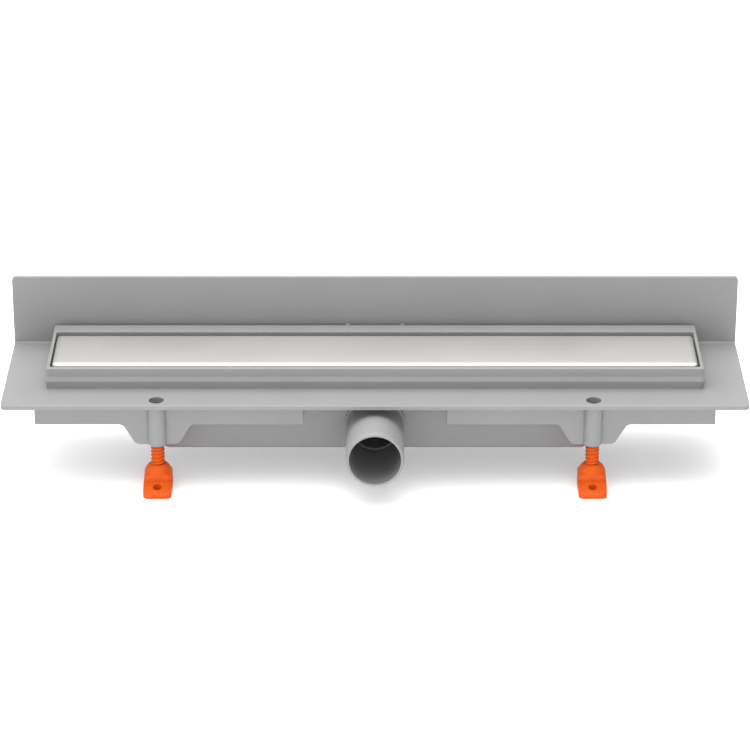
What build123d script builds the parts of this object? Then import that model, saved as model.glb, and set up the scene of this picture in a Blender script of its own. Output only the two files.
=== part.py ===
from build123d import *
import os

# Linear shower drain for the foot of a wall: one moulded drain body with a wall upstand, a floor flange
# and a raised collar, a folded cover plate in the collar, a lift-out odour trap in the sump, and two
# screw feet.
#
# Millimetres. X runs along the drain, Y points at the wall and Z points up. Everything is built from
# the flange's front edge (Y = 0) and its top face (Z = 0). TO_FLOOR then moves it all onto the floor,
# with the origin halfway along the drain and halfway between the outlet's mouth and the upstand's back.

# Flange and upstand
TOTAL_LENGTH = 640.0
FLANGE_DEPTH = 133.0
FLANGE_THICKNESS = 4.0
FLANGE_HEIGHT = 81.0
FLANGE_CORNER_RADIUS = 4.5
FLANGE_EDGE_RADIUS = 1.2
UPSTAND_HEIGHT = 63.3
UPSTAND_THICKNESS = 3.5
UPSTAND_CORNER_RADIUS = 3.5
UPSTAND_ROOT_RADIUS = 1.8
UPSTAND_EDGE_RADIUS = 0.8

# Collar: a straight rim over a flared band over a neck that draws in again
COLLAR_END_SETBACK = 37.0
COLLAR_SETBACK = 35.0
COLLAR_HEIGHT = 19.2
COLLAR_SLOT = 4.4
RIM_WIDTH_FRONT = 3.5
RIM_WIDTH_END = 2.7
RIM_WIDTH_REAR = 16.1
RIM_CORNER_RADIUS = 2.0
RIM_EDGE_CHAMFER = 0.6
BAND_PROUD = 1.3
BAND_HEIGHT = 7.4
BAND_SLOPE = 4.0
NECK_CORNER_RADIUS = 5.0
NECK_FOOT = 0.9
PIN_SPACING = 46.6
PIN_RADIUS = 1.7
PIN_RISE = 0.6

# Trough: a shallow channel that falls to a deep sump
TROUGH_WALL = 3.0
TROUGH_FRONT_STEP = 0.5
TROUGH_REAR_STEP = 1.0
CHANNEL_END_STEP = 3.0
CHANNEL_DEPTH_END = 18.0
CHANNEL_DEPTH_SUMP = 24.0
SUMP_LENGTH = 376.0
SUMP_DEPTH = 59.0
SUMP_CORNER_RADIUS = 10.0
SUMP_EDGE_CHAMFER = 2.6
SUMP_INNER_CHAMFER = 1.0

# Skirts, gussets and ribs under the flange
SKIRT_END_SETBACK = 28.0
SKIRT_SETBACK = 10.0
SKIRT_THICKNESS = 3.0
SKIRT_DEPTH = 22.1
SKIRT_GAP = 123.6
SKIRT_REAR_SETBACK = 11.0
GUSSET_DEPTH = 40.9
GUSSET_WIDTH_TOP = 58.8
GUSSET_WIDTH_BOTTOM = 36.6
GUSSET_RADIUS = 6.0
RIB_THICKNESS = 2.5
RIB_DEPTH = 16.0
FRONT_RIB_PLACES = (110.0, 240.0)
REAR_RIB_PLACES = (0.0, 90.0, 180.0, 265.0)

# Screw bosses
BOSS_SPACING = 374.4
BOSS_SETBACK = 11.4
BOSS_RADIUS = 8.3
BOSS_DEPTH = 41.5
BOSS_CHAMFER = 1.5
TOOL_HOLE_RADIUS = 6.55
BORE_CLEARANCE = 0.2

# Outlet spigot
OUTLET_RADIUS = 25.0
OUTLET_WALL = 2.7
OUTLET_DROP = 35.0
OUTLET_PROJECTION = 35.0
OUTLET_CHAMFER = 1.1
OUTLET_CHAMFER_LENGTH = 3.0
OUTLET_ROOT_RISE = 1.5
OUTLET_ROOT_LENGTH = 6.0
SOCKET_DEPTH = 4.0

# Cover plate, its brackets and pads
COVER_SIDE_GAP = 5.5
COVER_END_GAP = 1.0
COVER_SHEET = 1.5
COVER_FOLD_DEPTH = 9.0
COVER_BEND_RADIUS = 2.2
COVER_CORNER_RADIUS = 2.6
BRACKET_END_SETBACK = 49.3
BRACKET_PITCH = 150.0
BRACKET_LENGTH = 20.0
BRACKET_SHEET = 1.5
BRACKET_CLEARANCE = 0.1
BRACKET_BEND_RADIUS = 2.0
BRACKET_FOOT = 11.0
PAD_THICKNESS = 3.0
PAD_LENGTH = 16.0
PAD_WIDTH = 9.0
PAD_CORNER = 2.0
LUG_LENGTH = 22.0
LUG_REACH = 15.0
LUG_THICKNESS = 3.0
LUG_DEPTH = 14.0

# Odour trap, open at the rear, with its dip plate and strainer set in from there
TRAP_WALL = 2.0
TRAP_LENGTH = 68.0
TRAP_WALL_GAP = 1.0
TRAP_REAR_GAP = 9.5
TRAP_TOP_DROP = 8.0
WEIR_DROP = 22.0
TRAP_TUBE_WALL = 2.0
TRAP_TUBE_INSERT = 12.0
SEAL_THICKNESS = 1.0
SEAL_CLEARANCE = 0.05
SEAL_SETBACK = 3.0
SEAL_WIDTH = 6.0
GASKET_THICKNESS = 1.5
LID_THICKNESS = 2.5
LID_CORNER_RADIUS = 2.0
DIP_INSET = 15.0
DIP_DROP = 50.0
DIP_CLEARANCE = 0.2
GRIP_LENGTH = 34.0
GRIP_WIDTH = 8.0
GRIP_HEIGHT = 13.0
GRIP_BAR = 3.0
STRAINER_INSET = 5.0
STRAINER_THICKNESS = 1.8
STRAINER_SLOTS = 9
STRAINER_SLOT_WIDTH = 3.2
STRAINER_BORDER = 4.0
GUIDE_PROUD = 1.2
GUIDE_CLEARANCE = 0.15

# Spindles: a plain shank as thick as its thread's crests, a neck and a head that the foot holds
SHANK_RADIUS = 5.9
SHANK_TOP = 63.0
DRIVER_SLOT_WIDTH = 1.6
DRIVER_SLOT_DEPTH = 2.5
NECK_RADIUS = 3.4
HEAD_RADIUS = 4.8
HEAD_LENGTH = 8.0
HEAD_FLOOR = 7.0
HEAD_CLEARANCE = 0.15

# Feet: a bell that holds the spindle's head, on a base plate that slopes to the front
BELL_RADIUS = 12.1
BELL_MOUTH_RADIUS = 6.4
BELL_HEIGHT = 24.6
BELL_SHOULDER_HEIGHT = 16.5
BELL_TOP_CLEARANCE = 0.3
MOUTH_CLEARANCE = 0.5
BASE_REACH = 27.0
BASE_SLOPE_START = 12.0
BASE_HEIGHT_REAR = 9.0
BASE_HEIGHT_FRONT = 4.2
BASE_CORNER_RADIUS = 4.5
FOOT_HOLE_RADIUS = 3.6
FOOT_HOLE_REACH = 18.0

# Places worked out from the sizes above
COLLAR_LENGTH = TOTAL_LENGTH - 2 * COLLAR_END_SETBACK
COLLAR_BACK = FLANGE_DEPTH - COLLAR_SLOT
OPENING_FRONT = COLLAR_SETBACK + RIM_WIDTH_FRONT
OPENING_BACK = COLLAR_BACK - RIM_WIDTH_REAR
OPENING_LENGTH = COLLAR_LENGTH - 2 * RIM_WIDTH_END
COVER_MIDDLE = (OPENING_FRONT + OPENING_BACK) / 2
COVER_WIDTH = OPENING_BACK - OPENING_FRONT - 2 * COVER_SIDE_GAP
COVER_LENGTH = OPENING_LENGTH - 2 * COVER_END_GAP
BRACKET_OUTER = COVER_LENGTH / 2 - BRACKET_END_SETBACK
BRACKET_INNER = BRACKET_OUTER - BRACKET_PITCH
BRACKET_PLACES = (-BRACKET_OUTER, -BRACKET_INNER, BRACKET_INNER, BRACKET_OUTER)
TROUGH_FRONT = OPENING_FRONT + TROUGH_FRONT_STEP
TROUGH_BACK = OPENING_BACK - TROUGH_REAR_STEP
CHANNEL_LENGTH = COLLAR_LENGTH - 2 * CHANNEL_END_STEP
TROUGH_FRONT_INNER = TROUGH_FRONT + TROUGH_WALL
TROUGH_BACK_INNER = TROUGH_BACK - TROUGH_WALL
SUMP_FLOOR = TROUGH_WALL - SUMP_DEPTH
OUTLET_BORE_RADIUS = OUTLET_RADIUS - OUTLET_WALL
TRAP_DEPTH = TROUGH_BACK_INNER - TROUGH_FRONT_INNER - TRAP_WALL_GAP - TRAP_REAR_GAP
WEIR_SETBACK = TRAP_DEPTH / 2
DIP_SETBACK = TRAP_DEPTH - DIP_INSET
STRAINER_SETBACK = TRAP_DEPTH - STRAINER_INSET
SHANK_START = BELL_HEIGHT + BELL_TOP_CLEARANCE
TO_FLOOR = Pos(0, (OUTLET_PROJECTION - FLANGE_DEPTH - UPSTAND_THICKNESS) / 2, FLANGE_HEIGHT)


def box_between(low, high):
    """Return a box from its lowest corner to its highest corner."""
    return Pos(*low) * Box(*(b - a for a, b in zip(low, high)), align=(Align.MIN,) * 3)


def plan_slab(length, front, back, radius, low, high):
    """Return an upright slab with rounded corners, symmetric about X = 0."""
    outline = RectangleRounded(length, back - front, radius)
    return extrude(Pos(0, (front + back) / 2, low) * outline, high - low)


def plan_taper(low, high, low_spread, high_spread, low_radius, high_radius):
    """Return the collar's outline drawn from one spread at its foot to another at its top."""
    middle = (COLLAR_SETBACK + COLLAR_BACK) / 2
    width = COLLAR_BACK - COLLAR_SETBACK
    outlines = [
        Pos(0, middle, z) * RectangleRounded(COLLAR_LENGTH + 2 * spread, width + 2 * spread, radius)
        for z, spread, radius in ((low, low_spread, low_radius), (high, high_spread, high_radius))
    ]
    return loft(outlines)


def across(outline, front, depth):
    """Return an outline in X and Z as a slab that runs from front towards the wall."""
    return extrude(Plane.XZ.offset(-front) * outline, -depth)


def along(outline, middle, length):
    """Return an outline in Y and Z as a bar along X, centred on middle."""
    return extrude(Plane.YZ.offset(middle - length / 2) * outline, length)


def polygon(*points):
    """Return the flat face inside straight runs between the points."""
    return make_face(Polyline(*points, close=True))


def pair(piece):
    """Return the piece with its mirror image on the other side of X = 0."""
    return piece + mirror(piece, Plane.YZ)


def make_flange():
    """Return the floor flange and the wall upstand, with their rounded corners."""
    back = FLANGE_DEPTH + UPSTAND_THICKNESS
    section = polygon(
        (0, -FLANGE_THICKNESS),
        (back, -FLANGE_THICKNESS),
        (back, UPSTAND_HEIGHT),
        (FLANGE_DEPTH, UPSTAND_HEIGHT),
        (FLANGE_DEPTH, 0),
        (0, 0),
    )
    vertex = {(round(v.X, 3), round(v.Y, 3)): v for v in section.vertices()}
    section = fillet(vertex[(FLANGE_DEPTH, 0)], UPSTAND_ROOT_RADIUS)
    section = fillet(section.vertices().group_by(Axis.X)[0].sort_by(Axis.Y)[-1], FLANGE_EDGE_RADIUS)
    section = fillet(section.vertices().group_by(Axis.Y)[-1], UPSTAND_EDGE_RADIUS)
    bent = along(section, 0, TOTAL_LENGTH)

    height = FLANGE_THICKNESS + UPSTAND_HEIGHT
    face = Rectangle(TOTAL_LENGTH, height)
    face = fillet(face.vertices().group_by(Axis.Y)[-1], UPSTAND_CORNER_RADIUS)
    front_view = across(Pos(0, height / 2 - FLANGE_THICKNESS) * face, 0, back)

    plan = Rectangle(TOTAL_LENGTH, back)
    plan = fillet(plan.vertices().group_by(Axis.Y)[0], FLANGE_CORNER_RADIUS)
    top_view = extrude(Pos(0, back / 2, -FLANGE_THICKNESS) * plan, height)
    return bent & front_view & top_view


def make_collar():
    """Return the collar as a solid block: foot, neck, flared band and rim."""
    band_top = BAND_HEIGHT + BAND_SLOPE
    band_radius = RIM_CORNER_RADIUS + BAND_PROUD
    foot = plan_taper(0, NECK_FOOT, NECK_FOOT, 0, NECK_CORNER_RADIUS + NECK_FOOT, NECK_CORNER_RADIUS)
    neck = plan_taper(-FLANGE_THICKNESS, BAND_HEIGHT, 0, BAND_PROUD, NECK_CORNER_RADIUS, band_radius)
    band = plan_taper(BAND_HEIGHT, band_top, BAND_PROUD, 0, band_radius, RIM_CORNER_RADIUS)
    rim = plan_slab(
        COLLAR_LENGTH, COLLAR_SETBACK, COLLAR_BACK, RIM_CORNER_RADIUS, band_top, COLLAR_HEIGHT
    )
    rim = chamfer(rim.edges().group_by(Axis.Z)[-1], RIM_EDGE_CHAMFER)
    return foot + neck + band + rim


def make_trough(inset, top):
    """Return the channel and sump as a sharp-edged solid, drawn in by inset on all sides but the top."""
    channel = CHANNEL_LENGTH / 2 - inset
    sump = SUMP_LENGTH / 2 - inset
    outline = polygon(
        (-channel, top),
        (-channel, inset - CHANNEL_DEPTH_END),
        (-sump, inset - CHANNEL_DEPTH_SUMP),
        (-sump, inset - SUMP_DEPTH),
        (sump, inset - SUMP_DEPTH),
        (sump, inset - CHANNEL_DEPTH_SUMP),
        (channel, inset - CHANNEL_DEPTH_END),
        (channel, top),
    )
    outline = fillet(outline.vertices().group_by(Axis.Y)[0], SUMP_CORNER_RADIUS - inset)
    return across(outline, TROUGH_FRONT + inset, TROUGH_BACK - TROUGH_FRONT - 2 * inset)


def floor_edges(trough):
    """Return the two long edges of a trough's sump floor."""
    return trough.edges().filter_by(Axis.X).group_by(Axis.Z)[0]


def make_skirts():
    """Return the front skirts with their gussets, the end skirts and the returns beside the outlet."""
    boss = BOSS_SPACING / 2
    end = TOTAL_LENGTH / 2 - SKIRT_END_SETBACK
    inner = SKIRT_GAP / 2
    outline = polygon(
        (inner, -FLANGE_THICKNESS / 2),
        (inner, -SKIRT_DEPTH),
        (boss - GUSSET_WIDTH_TOP / 2, -SKIRT_DEPTH),
        (boss - GUSSET_WIDTH_BOTTOM / 2, -GUSSET_DEPTH),
        (boss + GUSSET_WIDTH_BOTTOM / 2, -GUSSET_DEPTH),
        (boss + GUSSET_WIDTH_TOP / 2, -SKIRT_DEPTH),
        (end, -SKIRT_DEPTH),
        (end, -FLANGE_THICKNESS / 2),
    )
    reach = GUSSET_WIDTH_TOP / 2 + 1
    corners = [v for v in outline.vertices() if abs(v.X - boss) < reach]
    front = across(fillet(corners, GUSSET_RADIUS), SKIRT_SETBACK, SKIRT_THICKNESS)
    side = box_between(
        (end - SKIRT_THICKNESS, SKIRT_SETBACK, -SKIRT_DEPTH),
        (end, FLANGE_DEPTH - SKIRT_REAR_SETBACK, -FLANGE_THICKNESS / 2),
    )
    beside_outlet = box_between(
        (inner, SKIRT_SETBACK, -SKIRT_DEPTH),
        (inner + SKIRT_THICKNESS, TROUGH_FRONT + TROUGH_WALL / 2, -FLANGE_THICKNESS / 2),
    )
    return pair(front + side + beside_outlet)


def make_ribs():
    """Return the stiffening ribs between the skirts, the trough and the flange's rear edge."""
    half = RIB_THICKNESS / 2
    front_low = (SKIRT_SETBACK + SKIRT_THICKNESS / 2, -RIB_DEPTH)
    front_high = (TROUGH_FRONT + TROUGH_WALL / 2, -FLANGE_THICKNESS / 2)
    ribs = [
        pair(box_between((x - half, *front_low), (x + half, *front_high)))
        for x in FRONT_RIB_PLACES
    ]
    inner = TROUGH_BACK - TROUGH_WALL / 2
    wedge = polygon(
        (inner, -FLANGE_THICKNESS / 2),
        (inner, -RIB_DEPTH),
        (TROUGH_BACK, -RIB_DEPTH),
        (FLANGE_DEPTH, -FLANGE_THICKNESS),
        (FLANGE_DEPTH, -FLANGE_THICKNESS / 2),
    )
    ribs += [pair(along(wedge, x, RIB_THICKNESS)) for x in REAR_RIB_PLACES]
    return ribs


def make_boss():
    """Return one screw boss as a solid post under the flange, on X = Y = 0."""
    post = Pos(0, 0, -BOSS_DEPTH) * Cylinder(
        BOSS_RADIUS, BOSS_DEPTH - FLANGE_THICKNESS / 2, align=(Align.CENTER, Align.CENTER, Align.MIN)
    )
    return chamfer(post.edges().group_by(Axis.Z)[0], BOSS_CHAMFER)


def make_outlet():
    """Return the outlet spigot as a solid bar, from its chamfered mouth to its root in the sump."""
    bar = across(Circle(OUTLET_RADIUS), -OUTLET_PROJECTION, OUTLET_PROJECTION + TROUGH_FRONT)
    mouth = bar.edges().group_by(Axis.Y)[0]
    front_face = bar.faces().sort_by(Axis.Y)[0]
    bar = chamfer(mouth, OUTLET_CHAMFER, OUTLET_CHAMFER_LENGTH, reference=front_face)
    root_length = OUTLET_ROOT_LENGTH + 2 * TROUGH_WALL + SOCKET_DEPTH
    root_circle = Circle(OUTLET_RADIUS + OUTLET_ROOT_RISE)
    root = across(root_circle, TROUGH_FRONT - OUTLET_ROOT_LENGTH, root_length)
    return Pos(0, 0, -OUTLET_DROP) * (bar + root)


def make_lugs():
    """Return the lugs on the trough's long walls that carry the cover's pads."""
    front = polygon(
        (TROUGH_FRONT_INNER - TROUGH_WALL / 2, 0),
        (TROUGH_FRONT_INNER + LUG_REACH, 0),
        (TROUGH_FRONT_INNER + LUG_REACH, -LUG_THICKNESS),
        (TROUGH_FRONT_INNER - TROUGH_WALL / 2, -LUG_DEPTH),
    )
    middle_plane = Plane.XZ.offset(-(TROUGH_FRONT_INNER + TROUGH_BACK_INNER) / 2)
    lugs = []
    for x in BRACKET_PLACES:
        lug = along(front, x, LUG_LENGTH)
        lugs += [lug, mirror(lug, middle_plane)]
    return lugs


def make_drain_body():
    """Return the whole moulding."""
    trough = make_trough(0, -FLANGE_THICKNESS / 2)
    body = make_flange() + make_collar() + chamfer(floor_edges(trough), SUMP_EDGE_CHAMFER)
    body = body + make_skirts() + make_ribs() + make_outlet()
    bosses = [Pos(x, BOSS_SETBACK) * make_boss() for x in (-BOSS_SPACING / 2, BOSS_SPACING / 2)]
    pin = Pos(PIN_SPACING / 2 + PIN_RADIUS / 2, COLLAR_BACK + PIN_RADIUS / 2, 0) * Cylinder(
        PIN_RADIUS, COLLAR_HEIGHT + PIN_RISE, align=(Align.CENTER, Align.CENTER, Align.MIN)
    )
    body = body + bosses + pair(pin)

    opening = plan_slab(
        OPENING_LENGTH, OPENING_FRONT, OPENING_BACK, RIM_CORNER_RADIUS, 0, COLLAR_HEIGHT + PIN_RISE
    )
    hollow = make_trough(TROUGH_WALL, COLLAR_HEIGHT)
    body = body - opening - chamfer(floor_edges(hollow), SUMP_INNER_CHAMFER)
    bore_length = OUTLET_PROJECTION + TROUGH_FRONT_INNER + SOCKET_DEPTH
    bore = across(Circle(OUTLET_BORE_RADIUS), -OUTLET_PROJECTION, bore_length)
    body = body - Pos(0, 0, -OUTLET_DROP) * bore
    for x in (-BOSS_SPACING / 2, BOSS_SPACING / 2):
        thread_bore = Cylinder(SHANK_RADIUS + BORE_CLEARANCE, 2 * BOSS_DEPTH + 2)
        tool_hole = Cylinder(TOOL_HOLE_RADIUS, 2 * FLANGE_THICKNESS)
        body = body - Pos(x, BOSS_SETBACK) * (thread_bore + tool_hole)
    return body + make_lugs()


def make_cover():
    """Return the cover plate: a flat sheet with its four edges folded down."""
    front = COVER_MIDDLE - COVER_WIDTH / 2
    back = COVER_MIDDLE + COVER_WIDTH / 2
    low = COLLAR_HEIGHT - COVER_FOLD_DEPTH
    outer = plan_slab(COVER_LENGTH, front, back, COVER_CORNER_RADIUS, low, COLLAR_HEIGHT)
    outer = fillet(outer.edges().group_by(Axis.Z)[-1], COVER_BEND_RADIUS)
    inner = plan_slab(
        COVER_LENGTH - 2 * COVER_SHEET,
        front + COVER_SHEET,
        back - COVER_SHEET,
        COVER_CORNER_RADIUS - COVER_SHEET,
        low,
        COLLAR_HEIGHT - COVER_SHEET,
    )
    return outer - inner


def bracket_half_width():
    """Return half of a bracket's outer width, between the cover's folds."""
    return COVER_WIDTH / 2 - COVER_SHEET - BRACKET_CLEARANCE


def pad_places():
    """Return the pads' two places in Y, under the middle of each bracket foot."""
    reach = bracket_half_width() - BRACKET_FOOT / 2
    return COVER_MIDDLE - reach, COVER_MIDDLE + reach


def make_bracket():
    """Return one cover bracket at X = 0: a strip folded into a bridge with its feet turned in."""
    half = bracket_half_width()
    top = COLLAR_HEIGHT - COVER_SHEET
    strip = polygon(
        (-half, PAD_THICKNESS),
        (-half, top),
        (half, top),
        (half, PAD_THICKNESS),
        (half - BRACKET_FOOT, PAD_THICKNESS),
        (half - BRACKET_FOOT, PAD_THICKNESS + BRACKET_SHEET),
        (half - BRACKET_SHEET, PAD_THICKNESS + BRACKET_SHEET),
        (half - BRACKET_SHEET, top - BRACKET_SHEET),
        (BRACKET_SHEET - half, top - BRACKET_SHEET),
        (BRACKET_SHEET - half, PAD_THICKNESS + BRACKET_SHEET),
        (BRACKET_FOOT - half, PAD_THICKNESS + BRACKET_SHEET),
        (BRACKET_FOOT - half, PAD_THICKNESS),
    )
    outer = [v for v in strip.vertices() if abs(abs(v.X) - half) < BRACKET_SHEET / 2]
    return along(Pos(COVER_MIDDLE, 0) * fillet(outer, BRACKET_BEND_RADIUS), 0, BRACKET_LENGTH)


def make_pad(y):
    """Return one rubber pad at X = 0, under a bracket's foot."""
    pad = box_between(
        (-PAD_LENGTH / 2, y - PAD_WIDTH / 2, 0), (PAD_LENGTH / 2, y + PAD_WIDTH / 2, PAD_THICKNESS)
    )
    return chamfer(pad.edges().filter_by(Axis.Z), PAD_CORNER)


def trap_box(inset, front, back, low, high):
    """Return a box across the trap, with front and back measured from the trap's front face."""
    half = TRAP_LENGTH / 2 - inset
    start = TROUGH_FRONT_INNER + TRAP_WALL_GAP
    return box_between((-half, start + front, low), (half, start + back, high))


def trap_tube(radius, setback, length):
    """Return a bar on the outlet's axis that starts setback from the front end of the trap's tube."""
    front = TROUGH_FRONT_INNER - TRAP_TUBE_INSERT + setback
    return Pos(0, 0, -OUTLET_DROP) * across(Circle(radius), front, length)


def make_trap_housing():
    """Return the trap's weir box, with the tube that plugs into the outlet."""
    length = TRAP_TUBE_INSERT + TRAP_WALL_GAP + TRAP_WALL
    tube_radius = OUTLET_BORE_RADIUS - SEAL_THICKNESS - SEAL_CLEARANCE
    box = trap_box(0, 0, TRAP_DEPTH, SUMP_FLOOR, -TRAP_TOP_DROP)
    hollow = trap_box(TRAP_WALL, TRAP_WALL, TRAP_DEPTH, SUMP_FLOOR + TRAP_WALL, 0)
    weir = trap_box(TRAP_WALL / 2, WEIR_SETBACK, WEIR_SETBACK + TRAP_WALL, SUMP_FLOOR, -WEIR_DROP)
    housing = box - hollow + weir + trap_tube(tube_radius, 0, length)
    housing -= trap_tube(tube_radius - TRAP_TUBE_WALL, 0, length)
    guide_low = SUMP_FLOOR + TRAP_WALL / 2
    for start in (
        STRAINER_SETBACK - GUIDE_CLEARANCE - GUIDE_PROUD,
        STRAINER_SETBACK + STRAINER_THICKNESS + GUIDE_CLEARANCE,
    ):
        guides = trap_box(TRAP_WALL / 2, start, start + GUIDE_PROUD, guide_low, -TRAP_TOP_DROP)
        guides -= trap_box(TRAP_WALL + GUIDE_PROUD, start, start + GUIDE_PROUD, guide_low, 0)
        housing += guides
    return housing


def make_outlet_seal():
    """Return the sleeve seal between the trap's tube and the outlet's bore."""
    outer = trap_tube(OUTLET_BORE_RADIUS, SEAL_SETBACK, SEAL_WIDTH)
    return outer - trap_tube(OUTLET_BORE_RADIUS - SEAL_THICKNESS, SEAL_SETBACK, SEAL_WIDTH)


def make_baffle_seal():
    """Return the flat seal on the trap's rim: one side open towards the inlet."""
    low = -TRAP_TOP_DROP
    high = low + GASKET_THICKNESS
    return trap_box(0, 0, DIP_SETBACK, low, high) - trap_box(TRAP_WALL, TRAP_WALL, DIP_SETBACK, low, high)


def make_trap_baffle():
    """Return the trap's lid with its dip plate and grip."""
    low = GASKET_THICKNESS - TRAP_TOP_DROP
    high = low + LID_THICKNESS
    lid = trap_box(0, 0, DIP_SETBACK + TRAP_WALL, low, high)
    lid = fillet(lid.edges().filter_by(Axis.Z), LID_CORNER_RADIUS)
    dip = trap_box(TRAP_WALL + DIP_CLEARANCE, DIP_SETBACK, DIP_SETBACK + TRAP_WALL, -DIP_DROP, low)
    middle = TROUGH_FRONT_INNER + TRAP_WALL_GAP + DIP_SETBACK / 2
    arch = Rectangle(GRIP_LENGTH, GRIP_HEIGHT, align=(Align.CENTER, Align.MIN))
    arch = fillet(arch.vertices().group_by(Axis.Y)[-1], GRIP_HEIGHT / 2)
    inside = Rectangle(
        GRIP_LENGTH - 2 * GRIP_BAR, GRIP_HEIGHT - GRIP_BAR, align=(Align.CENTER, Align.MIN)
    )
    inside = fillet(inside.vertices().group_by(Axis.Y)[-1], GRIP_HEIGHT / 2 - GRIP_BAR)
    grip = across(Pos(0, high) * (arch - inside), middle - GRIP_WIDTH / 2, GRIP_WIDTH)
    return lid + dip + grip


def make_hair_strainer():
    """Return the slotted plate that drops between the guides in the trap's inlet."""
    low = SUMP_FLOOR + TRAP_WALL
    inset = TRAP_WALL + GUIDE_CLEARANCE
    start = STRAINER_SETBACK
    plate = trap_box(inset, start, start + STRAINER_THICKNESS, low, -TRAP_TOP_DROP)
    y = TROUGH_FRONT_INNER + TRAP_WALL_GAP + start
    pitch = (TRAP_LENGTH - 2 * inset - 2 * STRAINER_BORDER) / STRAINER_SLOTS
    slot = Rectangle(STRAINER_SLOT_WIDTH, -TRAP_TOP_DROP - low - 2 * STRAINER_BORDER)
    middle = (low - TRAP_TOP_DROP) / 2
    for number in range(STRAINER_SLOTS):
        x = (number - (STRAINER_SLOTS - 1) / 2) * pitch
        plate -= across(Pos(x, middle) * slot, y, STRAINER_THICKNESS)
    return plate


def lathe(*points):
    """Return the solid of revolution about Z inside a closed run of (radius, height) points."""
    return revolve(Plane.XZ * polygon(*points), Axis.Z)


def make_spindle():
    """Return one spindle, standing on the floor at X = Y = 0."""
    spindle = lathe(
        (0, HEAD_FLOOR),
        (HEAD_RADIUS, HEAD_FLOOR),
        (HEAD_RADIUS, HEAD_FLOOR + HEAD_LENGTH),
        (NECK_RADIUS, HEAD_FLOOR + HEAD_LENGTH),
        (NECK_RADIUS, SHANK_START),
        (SHANK_RADIUS, SHANK_START),
        (SHANK_RADIUS, SHANK_TOP),
        (0, SHANK_TOP),
    )
    slot = Box(DRIVER_SLOT_WIDTH, 3 * SHANK_RADIUS, 2 * DRIVER_SLOT_DEPTH)
    return spindle - Pos(0, 0, SHANK_TOP) * slot


def make_socket():
    """Return the hollow of a foot: room for the spindle's head, and the mouth round its neck."""
    head = HEAD_RADIUS + HEAD_CLEARANCE
    neck = NECK_RADIUS + MOUTH_CLEARANCE
    floor = HEAD_FLOOR - HEAD_CLEARANCE
    ceiling = HEAD_FLOOR + HEAD_LENGTH + HEAD_CLEARANCE
    top = SHANK_START
    return lathe((0, floor), (head, floor), (head, ceiling), (neck, ceiling), (neck, top), (0, top))


def make_foot():
    """Return one foot, standing on the floor with its spindle axis at X = Y = 0."""
    bell = lathe(
        (0, 0),
        (BELL_RADIUS, 0),
        (BELL_RADIUS, BELL_SHOULDER_HEIGHT),
        (BELL_MOUTH_RADIUS, BELL_HEIGHT),
        (0, BELL_HEIGHT),
    )
    profile = polygon(
        (0, 0),
        (-BASE_REACH, 0),
        (-BASE_REACH, BASE_HEIGHT_FRONT),
        (-BASE_SLOPE_START, BASE_HEIGHT_REAR),
        (0, BASE_HEIGHT_REAR),
    )
    plan = Rectangle(2 * BELL_RADIUS, BASE_REACH, align=(Align.CENTER, Align.MAX))
    plan = fillet(plan.vertices().group_by(Axis.Y)[0], BASE_CORNER_RADIUS)
    base = along(profile, 0, 2 * BELL_RADIUS) & extrude(plan, BELL_HEIGHT)
    foot = bell + base
    foot -= Pos(0, -FOOT_HOLE_REACH, 0) * Cylinder(FOOT_HOLE_RADIUS, 4 * BASE_HEIGHT_REAR)
    return foot - make_socket()


def make_pieces():
    """Return every piece by its name, in the frame of the flange."""
    pieces = {
        "drain_body": make_drain_body(),
        "cover_plate": make_cover(),
        "trap_housing": make_trap_housing(),
        "outlet_seal": make_outlet_seal(),
        "baffle_seal": make_baffle_seal(),
        "trap_baffle": make_trap_baffle(),
        "hair_strainer": make_hair_strainer(),
    }
    pad_number = 0
    for number, x in enumerate(BRACKET_PLACES, start=1):
        pieces[f"cover_bracket_{number}"] = Pos(x, 0, 0) * make_bracket()
        for y in pad_places():
            pad_number += 1
            pieces[f"cover_pad_{pad_number}"] = Pos(x, 0, 0) * make_pad(y)
    for side, x in (("left", -BOSS_SPACING / 2), ("right", BOSS_SPACING / 2)):
        place = Pos(x, BOSS_SETBACK, -FLANGE_HEIGHT)
        pieces[f"foot_{side}"] = place * make_foot()
        pieces[f"spindle_{side}"] = place * make_spindle()
    return pieces


os.makedirs("parts", exist_ok=True)
for name, piece in make_pieces().items():
    export_step(TO_FLOOR * piece, f"parts/{name}.step")
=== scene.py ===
import logging
import math
from collections.abc import Callable, Iterator, Sequence
from contextlib import contextmanager
from dataclasses import dataclass
from enum import Enum

import bmesh
import bpy
from mathutils import Matrix, Vector


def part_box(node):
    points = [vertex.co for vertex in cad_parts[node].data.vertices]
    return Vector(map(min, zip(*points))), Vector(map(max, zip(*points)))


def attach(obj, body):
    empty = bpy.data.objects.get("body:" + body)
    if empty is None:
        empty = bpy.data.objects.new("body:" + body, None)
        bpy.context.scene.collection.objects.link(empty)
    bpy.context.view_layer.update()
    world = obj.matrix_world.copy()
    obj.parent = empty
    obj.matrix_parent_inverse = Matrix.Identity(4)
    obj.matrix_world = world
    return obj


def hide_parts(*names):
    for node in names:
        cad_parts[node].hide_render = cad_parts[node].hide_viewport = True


# Linear shower drain: the finishes, the small pieces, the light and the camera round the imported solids.
# Blender works in metres. The drain's classes give their sizes in millimetres, and the studio's in metres.

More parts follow.
